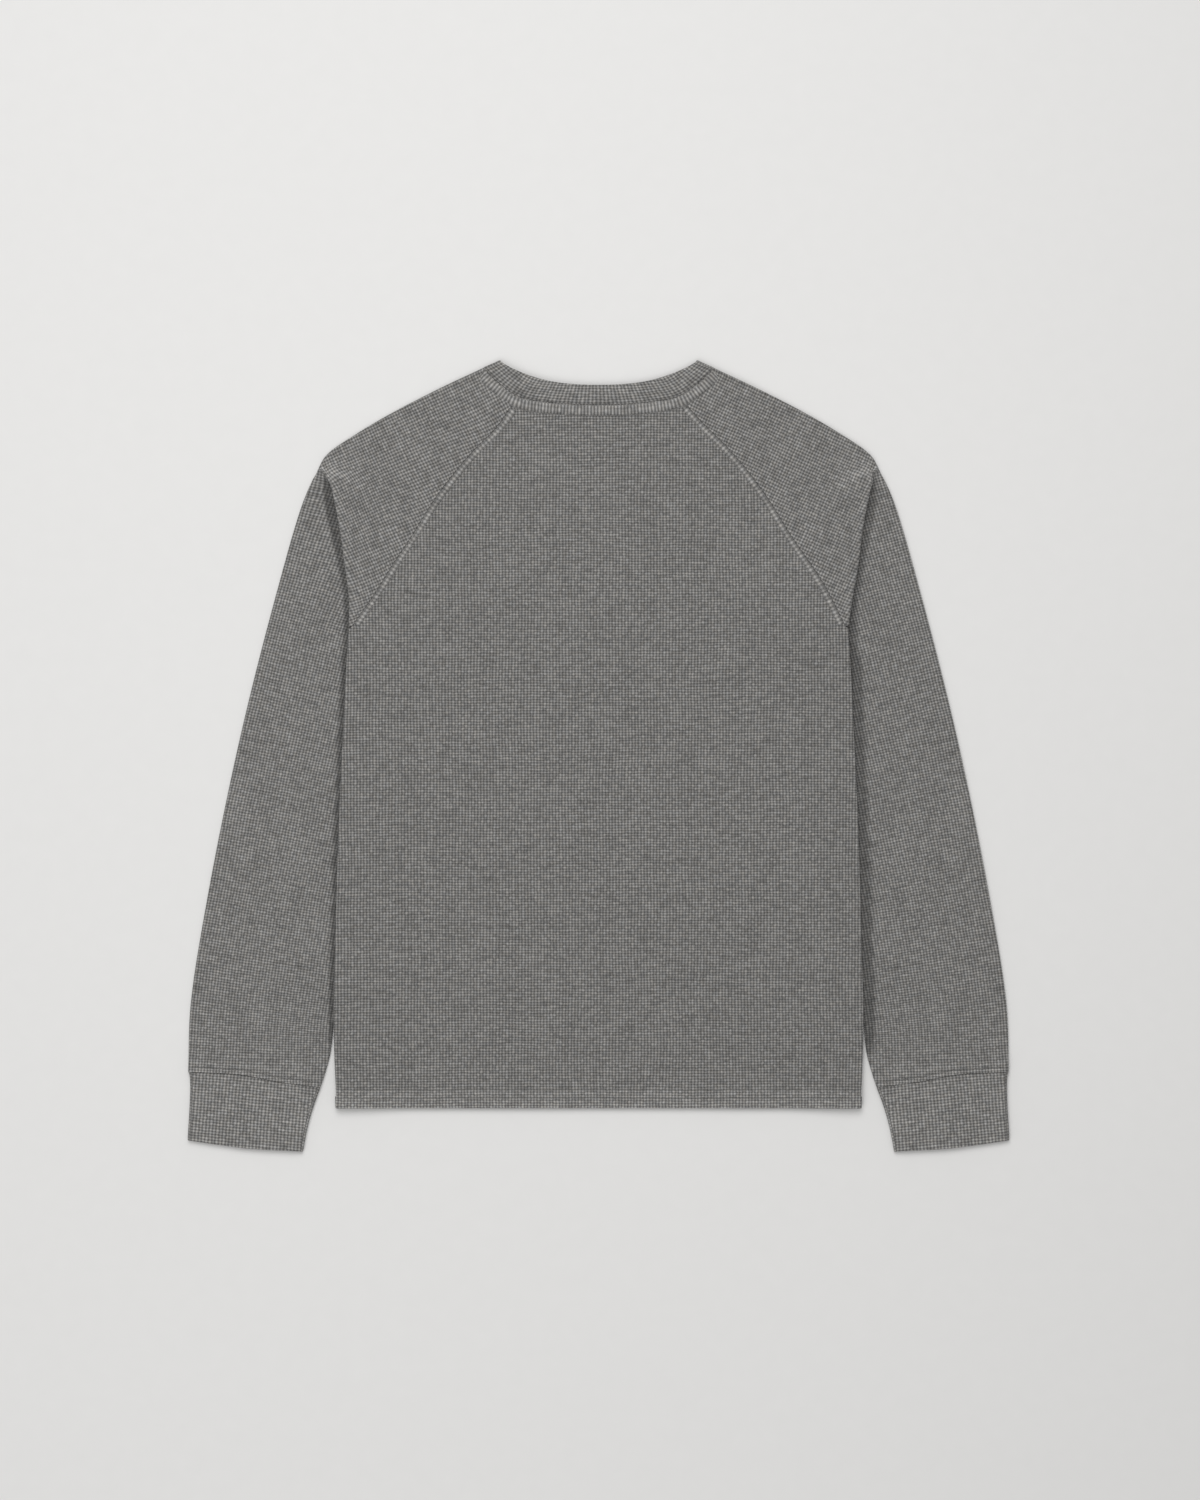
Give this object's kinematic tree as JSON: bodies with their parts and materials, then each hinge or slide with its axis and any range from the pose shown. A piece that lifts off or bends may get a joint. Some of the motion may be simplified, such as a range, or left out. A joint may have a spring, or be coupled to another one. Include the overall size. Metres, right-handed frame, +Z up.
{
  "type": "thermal top",
  "caption": "Raglan-sleeved crew-neck thermal top in heather grey waffle knit, laid flat with its back up and both sleeves turned down beside the body.",
  "frame": {"origin": "on the surface it lies on, under the middle of the outline", "axes": "+X across the body to the wearer's right, +Y from the hem to the neck, +Z up from the surface, square to the flat cloth"},
  "size_m": [0.77, 0.742, 0.0113],
  "materials": {
    "waffle_knit": "matt heather grey waffle knit with small square pits",
    "stitching": "grey sewing thread"
  },
  "bodies": {
    "root": {"back_panel": "waffle_knit", "front_panel": "waffle_knit", "sleeve_left": "waffle_knit", "sleeve_right": "waffle_knit", "neckband": "waffle_knit", "cuff_left": "waffle_knit", "cuff_right": "waffle_knit"}
  },
  "joints": []
}
